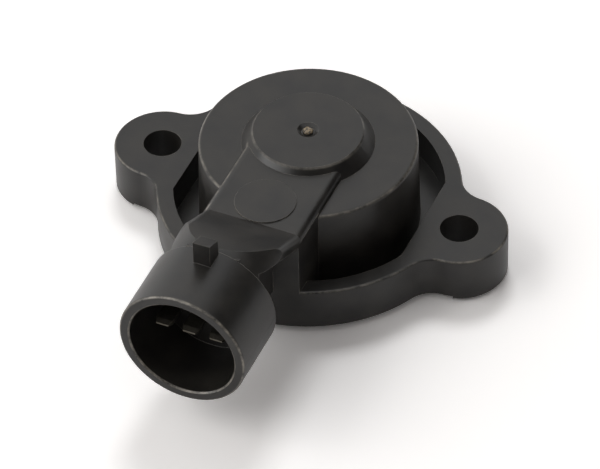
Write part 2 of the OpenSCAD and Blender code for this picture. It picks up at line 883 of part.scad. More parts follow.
// Ring of points round a tang, whose wire runs upwards
function tang_ring(turn, z) = [
    for (side = [0 : wire_sides - 1])
        let (around = 360 * side / wire_sides, a = tang_angle + 360 * turn, p = coil_point(turn))
            [p.x, p.y, z] + wire_d / 2 * [
                cos(around) * cos(a) + sin(around) * sin(a),
                cos(around) * sin(a) - sin(around) * cos(a),
                0
            ]
];

module return_spring() {
    bend = wire_d * bend_share;
    steps = spring_steps * coil_turns;
    inset = wire_d / (2 * PI * coil_r);
    rings = concat(
        [tang_ring(0, cover_bottom + tang_floor_t + tang_end_gap), tang_ring(0, coil_bottom - bend)],
        [for (i = [0 : steps]) coil_ring(inset + (coil_turns - 2 * inset) * i / steps)],
        [tang_ring(coil_turns, coil_top + bend), tang_ring(coil_turns, rotor_disc_top - tang_end_gap)]
    );
    count = len(rings);
    sides = [
        for (i = [0 : count - 2], s = [0 : wire_sides - 1])
            let (n = (s + 1) % wire_sides)
                each [
                    [i * wire_sides + s, (i + 1) * wire_sides + s, i * wire_sides + n],
                    [i * wire_sides + n, (i + 1) * wire_sides + s, (i + 1) * wire_sides + n]
                ]
    ];
    first = [for (s = [0 : wire_sides - 1]) s];
    last = [for (s = [wire_sides - 1 : -1 : 0]) (count - 1) * wire_sides + s];
    color(spring_steel)
        polyhedron(points = [for (r = rings) each r], faces = concat(sides, [first, last]));
}

// Wave washer between the rotor and the bearing boss
module wave_washer() {
    inner = spigot_r + washer_side_gap;
    outer = boss_r - washer_side_gap;
    low = rotor_top + washer_play;
    swing = (washer_space - 2 * washer_play - washer_t) / 2;
    function height(i) = low + swing * (1 + cos(360 * waves * i / washer_steps));
    points = [
        for (i = [0 : washer_steps - 1])
            let (a = 360 * i / washer_steps, z = height(i), top = z + washer_t)
                each [
                    [inner * cos(a), inner * sin(a), z], [outer * cos(a), outer * sin(a), z],
                    [outer * cos(a), outer * sin(a), top], [inner * cos(a), inner * sin(a), top]
                ]
    ];
    faces = [
        for (i = [0 : washer_steps - 1], k = [0 : 3])
            let (j = (i + 1) % washer_steps, n = (k + 1) % 4)
                each [
                    [4 * i + k, 4 * j + k, 4 * i + n],
                    [4 * i + n, 4 * j + k, 4 * j + n]
                ]
    ];
    color(spring_steel) polyhedron(points = points, faces = faces);
}

housing();
rear_cover();
mounting_seal();
rotor_seal();
element_board();
resistive_track();
collector_track();
supply_lead();
signal_lead();
ground_lead();
supply_terminal();
signal_terminal();
ground_terminal();
supply_solder();
signal_solder();
ground_solder();
rotor();
wiper();
return_spring();
wave_washer();
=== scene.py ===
"""Throttle position sensor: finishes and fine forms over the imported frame, with its studio and camera."""

import logging
import math
from dataclasses import dataclass
from enum import Enum

import bpy
from mathutils import Matrix, Vector


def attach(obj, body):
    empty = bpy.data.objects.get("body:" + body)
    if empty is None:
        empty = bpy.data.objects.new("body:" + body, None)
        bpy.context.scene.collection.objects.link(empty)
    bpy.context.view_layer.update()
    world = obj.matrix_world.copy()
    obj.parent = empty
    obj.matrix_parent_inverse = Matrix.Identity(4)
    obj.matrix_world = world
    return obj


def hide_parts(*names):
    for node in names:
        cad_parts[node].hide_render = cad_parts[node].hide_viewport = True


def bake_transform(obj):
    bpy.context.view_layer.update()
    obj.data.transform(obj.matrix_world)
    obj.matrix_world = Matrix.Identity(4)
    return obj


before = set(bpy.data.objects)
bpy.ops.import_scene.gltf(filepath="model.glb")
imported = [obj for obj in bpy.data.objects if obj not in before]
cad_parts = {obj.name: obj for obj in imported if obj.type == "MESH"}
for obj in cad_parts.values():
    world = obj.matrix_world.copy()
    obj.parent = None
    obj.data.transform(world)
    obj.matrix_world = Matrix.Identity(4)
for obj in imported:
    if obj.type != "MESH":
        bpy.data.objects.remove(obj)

log = logging.getLogger("sensor")

MM = 0.001

# A noise texture's values lie mostly between these two.
NOISE_LOW = 0.33
NOISE_HIGH = 0.67


class Body(Enum):
    """The two bodies that pieces ride on."""

    HOUSING = "housing"
    ROTOR = "rotor"


def linear(hex_colour: str) -> tuple[float, float, float, float]:
    """Turns an sRGB hex colour into linear values.

    Args:
        hex_colour: Six hex digits after a hash sign.

    Returns:
        Linear red, green and blue, and an alpha of 1.
    """
    shares = [int(hex_colour[place:place + 2], 16) / 255 for place in (1, 3, 5)]
    red, green, blue = [
        share / 12.92 if share <= 0.04045 else ((share + 0.055) / 1.055) ** 2.4 for share in shares
    ]
    return red, green, blue, 1.0


def per_metre(size_mm: float) -> float:
    """Returns the texture scale at which one feature is as wide as a size in millimetres."""
    return 1 / (size_mm * MM)


def waves_per_metre(pitch_mm: float) -> float:
    """Returns the Wave texture's scale at which its bands stand a pitch in millimetres apart."""
    return math.pi / 10 / (pitch_mm * MM)


def add_node(
    tree: bpy.types.NodeTree, kind: str, inputs: dict[str | int, object] | None = None, **settings: object
) -> bpy.types.Node:
    """Adds a node with its settings, and sets or links its inputs.

    Args:
        tree: The tree that gets the node.
        kind: Blender's name for the type of node.
        inputs: What each input gets, by name or number: a value, a socket, or a node for its first output.
        settings: The node's own settings.

    Returns:
        The new node.
    """
    node = tree.nodes.new(kind)
    for name, value in settings.items():
        setattr(node, name, value)
    for key, value in (inputs or {}).items():
        if isinstance(value, bpy.types.Node):
            value = value.outputs[0]
        if isinstance(value, bpy.types.NodeSocket):
            tree.links.new(value, node.inputs[key])
        else:
            node.inputs[key].default_value = value
    return node


@dataclass(frozen=True)
class Finish:
    """What every finish has: its name, two shades of its colour, and its gloss."""

    name: str
    colour: str
    shade: str
    roughness: float
    unevenness: float
    ior: float = 1.5
    metallic: float = 0.0

    def build(self) -> bpy.types.Material:
        """Makes the material.

        Returns:
            The material, with its surface linked.
        """
        material = bpy.data.materials.new(self.name)
        material.use_nodes = True
        tree = material.node_tree
        tree.nodes.clear()
        shader = add_node(tree, "ShaderNodeBsdfPrincipled", {"Metallic": self.metallic, "IOR": self.ior})
        add_node(tree, "ShaderNodeOutputMaterial", {"Surface": shader})
        self.dress(tree, shader)
        material.diffuse_color = linear(self.colour)
        return material

    def dress(self, tree: bpy.types.NodeTree, shader: bpy.types.Node) -> None:
        """Links the colour, roughness and relief to the shader."""
        raise NotImplementedError

    def shades(
        self, tree: bpy.types.NodeTree, shader: bpy.types.Node, clouds: bpy.types.Node
    ) -> bpy.types.Node:
        """Links the two shades and the uneven gloss to a pattern.

        Args:
            tree: The material's tree.
            shader: The shader that gets them.
            clouds: The pattern that they follow.

        Returns:
            The node that mixes the two shades.
        """
        share = add_node(
            tree, "ShaderNodeMapRange", {"Value": clouds, "From Min": NOISE_LOW, "From Max": NOISE_HIGH}
        )
        mixed = add_node(
            tree, "ShaderNodeMix",
            {"Factor": share, 6: linear(self.colour), 7: linear(self.shade)},
            data_type="RGBA",
        )
        gloss = add_node(
            tree, "ShaderNodeMapRange",
            {
                "Value": share,
                "To Min": self.roughness - self.unevenness, "To Max": self.roughness + self.unevenness,
            },
        )
        tree.links.new(mixed.outputs[2], shader.inputs["Base Color"])
        tree.links.new(gloss.outputs[0], shader.inputs["Roughness"])
        return mixed


@dataclass(frozen=True)
class PaleWearAndHighlightEdge:
    """An edge painted pale, partly as wear from handling and partly as a painted highlight: a ring round an
    axis, or a straight line if it has no radius.
    """

    centre_mm: tuple[float, float, float]
    axis: tuple[float, float, float]
    radius_mm: float = 0.0
    spread_mm: float = 0.45
    share: float = 1.0

    def mask(
        self, tree: bpy.types.NodeTree, place: bpy.types.NodeSocket, normal: bpy.types.NodeSocket
    ) -> bpy.types.Node:
        """Marks the rounding at the edge, and neither of the faces beside it.

        Args:
            tree: The material's tree.
            place: Where a point of the surface is.
            normal: Which way the surface faces there.

        Returns:
            A node that gives the share on the rounding and 0 on the faces and beyond the spread.
        """
        centre = tuple(value * MM for value in self.centre_mm)
        offset = add_node(tree, "ShaderNodeVectorMath", {0: place, 1: centre}, operation="SUBTRACT")
        along = add_node(tree, "ShaderNodeVectorMath", {0: offset, 1: self.axis}, operation="DOT_PRODUCT")
        on_axis = add_node(
            tree, "ShaderNodeVectorMath", {0: self.axis, "Scale": along.outputs["Value"]}, operation="SCALE"
        )
        outward = add_node(tree, "ShaderNodeVectorMath", {0: offset, 1: on_axis}, operation="SUBTRACT")
        radial = add_node(tree, "ShaderNodeVectorMath", {0: outward}, operation="LENGTH").outputs["Value"]
        distance = radial
        if self.radius_mm:
            beside = add_node(
                tree, "ShaderNodeMath", {0: radial, 1: self.radius_mm * MM}, operation="SUBTRACT"
            )
            both = add_node(tree, "ShaderNodeCombineXYZ", {0: beside, 1: along.outputs["Value"]})
            distance = add_node(tree, "ShaderNodeVectorMath", {0: both}, operation="LENGTH").outputs["Value"]
        near = add_node(
            tree, "ShaderNodeMapRange",
            {
                "Value": distance, "From Min": 0.3 * self.spread_mm * MM, "From Max": self.spread_mm * MM,
                "To Min": 4 * self.share, "To Max": 0.0,
            },
        )
        face_way = self.axis if self.radius_mm else (0.0, 0.0, 1.0)
        lean = add_node(tree, "ShaderNodeVectorMath", {0: normal, 1: face_way}, operation="DOT_PRODUCT")
        square = add_node(tree, "ShaderNodeMath", {0: lean.outputs["Value"], 1: 2.0}, operation="POWER")
        rest = add_node(tree, "ShaderNodeMath", {0: 1.0, 1: square}, operation="SUBTRACT")
        rounding = add_node(tree, "ShaderNodeMath", {0: square, 1: rest}, operation="MULTIPLY")
        return add_node(tree, "ShaderNodeMath", {0: near, 1: rounding}, operation="MULTIPLY")


@dataclass(frozen=True)
class MouldedPlastic(Finish):
    """Injection-moulded thermoplastic: the eroded mould leaves fine grain, and edges come out rounded."""

    # Edges listed for extra pale colour: partly wear from handling, partly painted highlight.
    wear_and_highlight: tuple[PaleWearAndHighlightEdge, ...] = ()
    grain_mm: float = 0.25
    grain_depth_mm: float = 0.006
    flow_mm: float = 5.0
    edge_mm: float = 0.12
    edge_lean: tuple[float, float] = (0.995, 0.85)
    # The pale edge colour stands partly for wear and partly for a painted highlight along the roundings.
    wear_and_highlight_colour: str = "#8f8a80"
    wear_and_highlight_patch_mm: float = 2.6
    wear_and_highlight_patches: tuple[float, float] = (0.38, 0.62)
    see_into: float = 0.0
    see_into_mm: float = 0.0
    see_into_reach: tuple[float, float, float] = (1.0, 0.8, 0.5)

    def dress(self, tree: bpy.types.NodeTree, shader: bpy.types.Node) -> None:
        """Links flow marks, mould grain, rounded edges, and a pale colour on edges that is partly wear from
        handling and partly painted highlight.

        Args:
            tree: The material's tree.
            shader: The shader that gets them.
        """
        place = add_node(tree, "ShaderNodeTexCoord").outputs["Object"]
        flow = add_node(
            tree, "ShaderNodeTexNoise", {"Vector": place, "Scale": per_metre(self.flow_mm), "Detail": 4.0}
        )
        mixed = self.shades(tree, shader, flow)
        grain = add_node(
            tree, "ShaderNodeTexNoise", {"Vector": place, "Scale": per_metre(self.grain_mm), "Detail": 2.0}
        )
        rounded = add_node(tree, "ShaderNodeBevel", {"Radius": self.edge_mm * MM}, samples=6)
        relief = add_node(
            tree, "ShaderNodeBump",
            {"Strength": 1.0, "Distance": self.grain_depth_mm * MM, "Height": grain, "Normal": rounded},
        )
        tree.links.new(relief.outputs[0], shader.inputs["Normal"])
        flat = add_node(tree, "ShaderNodeNewGeometry").outputs["Normal"]
        # Where the rounded normal turns away from the face, the edge is painted pale: partly wear from
        # handling, partly a painted highlight along every edge.
        turn = add_node(tree, "ShaderNodeVectorMath", {0: rounded, 1: flat}, operation="DOT_PRODUCT")
        edge = add_node(
            tree, "ShaderNodeMapRange",
            {"Value": turn.outputs["Value"], "From Min": self.edge_lean[0], "From Max": self.edge_lean[1]},
        )
        # The listed edges get extra pale paint: painted highlight with some wear.
        for pale_edge in self.wear_and_highlight:
            edge = add_node(
                tree, "ShaderNodeMath", {0: edge, 1: pale_edge.mask(tree, place, flat)}, operation="MAXIMUM"
            )
        wear_and_highlight_noise = add_node(
            tree, "ShaderNodeTexNoise",
            {"Vector": place, "Scale": per_metre(self.wear_and_highlight_patch_mm), "Detail": 8.0, "Roughness": 0.72},
        )
        wear_and_highlight = add_node(
            tree, "ShaderNodeMapRange",
            {"Value": wear_and_highlight_noise, "From Min": self.wear_and_highlight_patches[0], "From Max": self.wear_and_highlight_patches[1]},
        )
        patchy = add_node(tree, "ShaderNodeMath", {0: edge, 1: wear_and_highlight}, operation="MULTIPLY")
        with_wear_and_highlight = add_node(
            tree, "ShaderNodeMix",
            {"Factor": patchy, 6: mixed.outputs[2], 7: linear(self.wear_and_highlight_colour)},
            data_type="RGBA",
        )
        tree.links.new(with_wear_and_highlight.outputs[2], shader.inputs["Base Color"])
        if self.see_into:
            shader.inputs["Subsurface Weight"].default_value = self.see_into
            shader.inputs["Subsurface Radius"].default_value = self.see_into_reach
            shader.inputs["Subsurface Scale"].default_value = self.see_into_mm * MM


@dataclass(frozen=True)
class MouldedRubber(Finish):
    """Compression-moulded rubber: matt, with a dull bloom in patches and a fine skin."""

    skin_mm: float = 0.15
    skin_depth_mm: float = 0.01
    bloom_mm: float = 2.5

    def dress(self, tree: bpy.types.NodeTree, shader: bpy.types.Node) -> None:
        """Links the bloom and the skin.

        Args:
            tree: The material's tree.
            shader: The shader that gets them.
        """
        place = add_node(tree, "ShaderNodeTexCoord").outputs["Object"]
        bloom = add_node(
            tree, "ShaderNodeTexNoise", {"Vector": place, "Scale": per_metre(self.bloom_mm), "Detail": 5.0}
        )
        self.shades(tree, shader, bloom)
        skin = add_node(
            tree, "ShaderNodeTexNoise", {"Vector": place, "Scale": per_metre(self.skin_mm), "Detail": 2.0}
        )
        relief = add_node(
            tree, "ShaderNodeBump", {"Distance": self.skin_depth_mm * MM, "Height": skin}
        )
        tree.links.new(relief.outputs[0], shader.inputs["Normal"])


@dataclass(frozen=True)
class WovenFlat(Finish):
    """A flat layer that keeps a weave: glass cloth in a laminate, or the print screen's threads in an ink."""

    thread_mm: float = 0.45
    weave_depth_mm: float = 0.01
    speck_mm: float = 0.2

    def dress(self, tree: bpy.types.NodeTree, shader: bpy.types.Node) -> None:
        """Links two crossed sets of threads and the specks between them.

        Args:
            tree: The material's tree.
            shader: The shader that gets them.
        """
        place = add_node(tree, "ShaderNodeTexCoord").outputs["Object"]
        warp = add_node(
            tree, "ShaderNodeTexWave",
            {"Vector": place, "Scale": waves_per_metre(self.thread_mm)}, bands_direction="X",
        )
        weft = add_node(
            tree, "ShaderNodeTexWave",
            {"Vector": place, "Scale": waves_per_metre(self.thread_mm)}, bands_direction="Y",
        )
        weave = add_node(
            tree, "ShaderNodeMath", {0: warp.outputs["Fac"], 1: weft.outputs["Fac"]}, operation="MULTIPLY"
        )
        specks = add_node(
            tree, "ShaderNodeTexNoise", {"Vector": place, "Scale": per_metre(self.speck_mm), "Detail": 3.0}
        )
        both = add_node(tree, "ShaderNodeMath", {0: weave, 1: specks, 2: 0.25}, operation="MULTIPLY_ADD")
        self.shades(tree, shader, both)
        relief = add_node(
            tree, "ShaderNodeBump", {"Distance": self.weave_depth_mm * MM, "Height": both}
        )
        tree.links.new(relief.outputs[0], shader.inputs["Normal"])


@dataclass(frozen=True)
class RolledMetal(Finish):
    """Strip metal: rolling or drawing leaves fine lines along it, and a plating clouds it."""

    line_mm: float = 0.12
    line_run: tuple[float, float, float] = (1.0, 0.04, 1.0)
    line_depth_mm: float = 0.002
    cloud_mm: float = 1.2
    along: str = ""

    def dress(self, tree: bpy.types.NodeTree, shader: bpy.types.Node) -> None:
        """Links the clouds and the lines, which follow the piece's own attribute where it has one.

        Args:
            tree: The material's tree.
            shader: The shader that gets them.
        """
        place = add_node(tree, "ShaderNodeTexCoord").outputs["Object"]
        clouds = add_node(
            tree, "ShaderNodeTexNoise", {"Vector": place, "Scale": per_metre(self.cloud_mm), "Detail": 3.0}
        )
        self.shades(tree, shader, clouds)
        if self.along:
            place = add_node(tree, "ShaderNodeAttribute", attribute_name=self.along).outputs["Vector"]
        drawn_out = add_node(tree, "ShaderNodeMapping", {"Vector": place, "Scale": self.line_run})
        lines = add_node(
            tree, "ShaderNodeTexNoise", {"Vector": drawn_out, "Scale": per_metre(self.line_mm), "Detail": 2.0}
        )
        relief = add_node(
            tree, "ShaderNodeBump", {"Distance": self.line_depth_mm * MM, "Height": lines}
        )
        tree.links.new(relief.outputs[0], shader.inputs["Normal"])


# Glass-filled polyester (PBT), moulded: charcoal with a warm cast, and a dull sheen more than a gloss.
HOUSING_POLYMER = MouldedPlastic(
    "moulded_black_pbt", "#1b1a19", "#292724", 0.34, 0.04, ior=1.5, grain_depth_mm=0.009,
    # The pale edges below are painted highlights along the cap rim, the disc, the flange, the ears, the arm's
    # edge and the tube's ends, with patchy wear from handling.
    wear_and_highlight=(
        PaleWearAndHighlightEdge((0.0, 0.0, 17.85), (0.0, 0.0, 1.0), 17.75, share=0.6),
        PaleWearAndHighlightEdge((0.0, 0.0, 20.45), (0.0, 0.0, 1.0), 9.13, share=0.35),
        PaleWearAndHighlightEdge((0.0, 0.0, 8.0), (0.0, 0.0, 1.0), 24.98, share=0.5),
        PaleWearAndHighlightEdge((-26.5, 0.0, 8.0), (0.0, 0.0, 1.0), 7.88, share=0.8),
        PaleWearAndHighlightEdge((26.5, 0.0, 8.0), (0.0, 0.0, 1.0), 7.88, share=0.8),
        PaleWearAndHighlightEdge((-8.2, 0.0, 19.0), (0.0, 1.0, 0.0), share=0.7),
        PaleWearAndHighlightEdge((0.0, -49.35, 16.1), (0.0, 1.0, 0.0), 10.6),
        PaleWearAndHighlightEdge((0.0, -49.42, 16.1), (0.0, 1.0, 0.0), 9.15),
        PaleWearAndHighlightEdge((0.0, -37.15, 16.1), (0.0, 1.0, 0.0), 10.68, share=0.8),
    ),
)
# The same polyester torn off at the gate: rough and glassy, with paler fibres showing in the break.
TORN_POLYMER = MouldedPlastic(
    "torn_black_pbt", "#1c1a18", "#9a8a70", 0.3, 0.1, grain_mm=0.2, grain_depth_mm=0.03, flow_mm=0.35
)
# The same polyester from a coarser mould: the cover is hidden in use, and its face is duller.
COVER_POLYMER = MouldedPlastic(
    "moulded_black_pbt_matt", "#18181a", "#1f1f21", 0.5, 0.05, grain_mm=0.35, grain_depth_mm=0.012
)
# Unfilled acetal (POM), moulded: warm amber, slightly translucent, with a waxy gloss.
ROTOR_POLYMER = MouldedPlastic(
    "moulded_amber_acetal", "#d6c096", "#cdb383", 0.36, 0.05, ior=1.48, grain_mm=0.4, grain_depth_mm=0.003,
    # Its pale edge colour is partly wear, partly painted highlight.
    wear_and_highlight_colour="#e6d7b4", see_into=0.2, see_into_mm=0.8,
)
# Fluorosilicone rubber, compression moulded: dark grey and matt, with a dusty bloom.
SEAL_RUBBER = MouldedRubber("moulded_seal_rubber", "#1d1d1e", "#2b2b2b", 0.62, 0.08, ior=1.45)
# Glass-cloth epoxy laminate (FR-4), pressed: dull green with its cloth showing through.
BOARD_LAMINATE = WovenFlat("pressed_epoxy_laminate", "#4c6146", "#5f7454", 0.4, 0.06, ior=1.55)
# Carbon polymer ink, screen printed and cured: black and matt with a trace of the screen.
CARBON_INK = WovenFlat(
    "printed_carbon_ink", "#1a1a1d", "#27272b", 0.6, 0.05, thread_mm=0.15, weave_depth_mm=0.004, speck_mm=0.1
)
# Silver polymer ink, screen printed: a pale satin metal, never bright.
SILVER_INK = WovenFlat(
    "printed_silver_ink", "#aaa89f", "#bcbab1", 0.48, 0.05, metallic=0.9,
    thread_mm=0.15, weave_depth_mm=0.004, speck_mm=0.1,
)
# Brass strip, tinned and stamped, with rolling lines along the blades; its colour is painted much darker than
# silvery tin, as painted shade for the blades deep in the connector tube.
TINNED_BRASS_IN_PAINTED_SHADE = RolledMetal("tinned_brass_strip", "#67635b", "#565249", 0.52, 0.06, metallic=1.0)
# Tin-lead solder, set from liquid: bright and smooth with soft wrinkles.
SOLDER = RolledMetal(
    "set_solder", "#c6c5c0", "#b3b2ad", 0.24, 0.08, metallic=1.0, line_mm=0.4, line_run=(1.0, 1.0, 1.0),
    line_depth_mm=0.012, cloud_mm=0.6,
)
# Phosphor bronze strip, rolled and stamped: a reddish gold with a soft shine.
CONTACT_BRONZE = RolledMetal(
    "rolled_phosphor_bronze", "#c08a5a", "#ac774b", 0.3, 0.06, metallic=1.0, line_run=(0.04, 1.0, 1.0)
)
# Carbon steel music wire, drawn: dark silver, with die lines that follow the wire.
SPRING_STEEL = RolledMetal(
    "drawn_spring_wire", "#8b8d91", "#76787c", 0.3, 0.07, metallic=1.0,
    line_mm=0.1, line_run=(0.03, 1.0, 1.0), line_depth_mm=0.004, cloud_mm=2.0, along="wire_place",
)
# Spring steel strip, rolled and stamped for the washer: the same steel with flat rolling lines.
WASHER_STEEL = RolledMetal("rolled_spring_strip", "#909296", "#7d7f83", 0.3, 0.06, metallic=1.0)


@dataclass
class Recipe:
    """A Geometry Nodes tree with one named input for each size, grown once and kept as a plain mesh."""

    name: str
    sizes: dict[str, float | int]

    def __post_init__(self) -> None:
        """Starts the tree with its inputs."""
        self.tree = bpy.data.node_groups.new(self.name, "GeometryNodeTree")
        self.tree.is_modifier = True
        self.tree.interface.new_socket("Geometry", in_out="OUTPUT", socket_type="NodeSocketGeometry")
        self.tree.interface.new_socket("Geometry", in_out="INPUT", socket_type="NodeSocketGeometry")
        for label, value in self.sizes.items():
            kind = "NodeSocketInt" if isinstance(value, int) else "NodeSocketFloat"
            self.tree.interface.new_socket(label, in_out="INPUT", socket_type=kind)
        self.given = add_node(self.tree, "NodeGroupInput").outputs

    def node(
        self, kind: str, inputs: dict[str | int, object] | None = None, **settings: object
    ) -> bpy.types.Node:
        """Adds a node to this tree, as add_node does."""
        return add_node(self.tree, kind, inputs, **settings)

    def grow(self, last: bpy.types.Node, finish: bpy.types.Material, smooth_deg: float) -> bpy.types.Object:
        """Ends the tree, grows the piece and turns it into a plain mesh at the origin.

        Args:
            last: The node whose first output is the shape.
            finish: The material that the piece gets.
            smooth_deg: Edges sharper than this angle stay sharp.

        Returns:
            The piece, with no modifier left on it.
        """
        real = self.node("GeometryNodeRealizeInstances", {0: last})
        dressed = self.node("GeometryNodeSetMaterial", {0: real, "Material": finish})
        self.node("NodeGroupOutput", {0: dressed})
        piece = bpy.data.objects.new(self.name, bpy.data.meshes.new(self.name))
        bpy.context.scene.collection.objects.link(piece)
        modifier = piece.modifiers.new("Grow", "NODES")
        modifier.node_group = self.tree
        for item in self.tree.interface.items_tree:
            if item.name in self.sizes:
                modifier[item.identifier] = self.sizes[item.name]
        graph = bpy.context.evaluated_depsgraph_get()
        mesh = bpy.data.meshes.new_from_object(
            piece.evaluated_get(graph), preserve_all_data_layers=True, depsgraph=graph
        )
        piece.modifiers.remove(modifier)
        piece.data = mesh
        mesh.shade_smooth()
        mesh.set_sharp_from_angle(angle=math.radians(smooth_deg))
        return piece


def settle(piece: bpy.types.Object, body: Body, slot: str, *nodes: str) -> None:
    """Hands a finished piece over to the frame.

    Args:
        piece: The piece.
        body: The body that it rides on.
        slot: The record's material slot; not used.
        nodes: The frame's nodes that it stands for.
    """
    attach(piece, body.value)
    if nodes:
        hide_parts(*nodes)
    log.info("%s: %d faces, rides on %s", piece.name, len(piece.data.polygons), body.value)


def settle_between(piece: bpy.types.Object, low_mm: float, high_mm: float, slot: str, *nodes: str) -> None:
    """Keeps a piece that runs between the housing and the rotor, as a wound spring does, where it stands: it
    rides on neither body and does not twist.

    Args:
        piece: The piece.
        low_mm: Height up to which it stays with the housing; not used.
        high_mm: Height from which it turns with the rotor; not used.
        slot: The record's material slot; not used.
        nodes: The frame's nodes that it stands for.
    """
    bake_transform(piece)
    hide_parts(*nodes)
    log.info("%s: %d faces, twists between the bodies", piece.name, len(piece.data.polygons))


def dress_nodes(finish: bpy.types.Material, *nodes: str) -> None:
    """Puts a finish on nodes of the frame, whose shapes stay as they are.

    Args:
        finish: The material.
        nodes: The nodes' names.
    """
    for node in nodes:
        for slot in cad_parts[node].material_slots:
            slot.material = finish
        log.info("%s: dressed in %s", node, finish.name)


@dataclass
class GateStub:
    """The torn end of the moulding gate on the cap, which was snapped off."""

    across_mm: float = 1.7
    height_mm: float = 0.7
    tear_mm: float = 0.34
    lump_mm: float = 0.3
    top_mm: float = 20.3
    seed: int = 7

    def build(self, finish: bpy.types.Material) -> bpy.types.Object:
        """Grows the stub on the gate's pip.

        Args:
            finish: The housing's material.

        Returns:
            The stub.
        """
        recipe = Recipe(
            "gate_stub",
            {
                "Radius": self.across_mm / 2 * MM,
                "Flatness": self.height_mm / self.across_mm,
                "Tear": self.tear_mm * MM,
                "Height": self.top_mm * MM,
                "Seed": float(self.seed),
            },
        )
        given = recipe.given
        lump = recipe.node("GeometryNodeMeshIcoSphere", {"Radius": given["Radius"], "Subdivisions": 4})
        place = recipe.node("GeometryNodeInputPosition")
        torn = recipe.node(
            "ShaderNodeTexNoise",
            {"Vector": place, "W": given["Seed"], "Scale": per_metre(self.lump_mm), "Detail": 3.0},
            noise_dimensions="4D",
        )
        depth = recipe.node("ShaderNodeMath", {0: torn, 1: 0.5}, operation="SUBTRACT")
        pull = recipe.node("ShaderNodeMath", {0: depth, 1: given["Tear"]}, operation="MULTIPLY")
        outward = recipe.node("GeometryNodeInputNormal")
        push = recipe.node("ShaderNodeVectorMath", {0: outward, "Scale": pull}, operation="SCALE")
        rough = recipe.node("GeometryNodeSetPosition", {0: lump, "Offset": push})
        squat = recipe.node("ShaderNodeCombineXYZ", {0: 1.0, 1: 1.0, 2: given["Flatness"]})
        lift = recipe.node("ShaderNodeCombineXYZ", {2: given["Height"]})
        seated = recipe.node(
            "GeometryNodeTransform", {0: rough, "Translation": lift, "Scale": squat}
        )
        return recipe.grow(seated, finish, 60)


@dataclass
class SealRing:
    """A rubber ring with a rounded section, swept round the rotor axis."""

    name: str
    inner_mm: float
    outer_mm: float
    low_mm: float
    high_mm: float
    corner_mm: float

    def build(self, finish: bpy.types.Material) -> bpy.types.Object:
        """Sweeps the section round the axis.

        Args:
            finish: The rubber.

        Returns:
            The ring.
        """
        recipe = Recipe(
            self.name,
            {
                "Ring radius": (self.inner_mm + self.outer_mm) / 2 * MM,
                "Width": (self.outer_mm - self.inner_mm) * MM,
                "Thickness": (self.high_mm - self.low_mm) * MM,
                "Middle height": (self.low_mm + self.high_mm) / 2 * MM,
                "Corner": self.corner_mm * MM,
            },
        )
        given = recipe.given
        round_path = recipe.node(
            "GeometryNodeCurvePrimitiveCircle", {"Resolution": 160, "Radius": given["Ring radius"]}
        )
        level = recipe.node("GeometryNodeSetCurveNormal", {0: round_path}, mode="Z_UP")
        box = recipe.node(
            "GeometryNodeCurvePrimitiveQuadrilateral", {"Width": given["Width"], "Height": given["Thickness"]}
        )
        section = recipe.node(
            "GeometryNodeFilletCurve", {"Curve": box, "Radius": given["Corner"], "Count": 4}, mode="POLY"
        )
        swept = recipe.node("GeometryNodeCurveToMesh", {"Curve": level, "Profile Curve": section})
        lift = recipe.node("ShaderNodeCombineXYZ", {2: given["Middle height"]})
        seated = recipe.node("GeometryNodeTransform", {0: swept, "Translation": lift})
        return recipe.grow(seated, finish, 50)


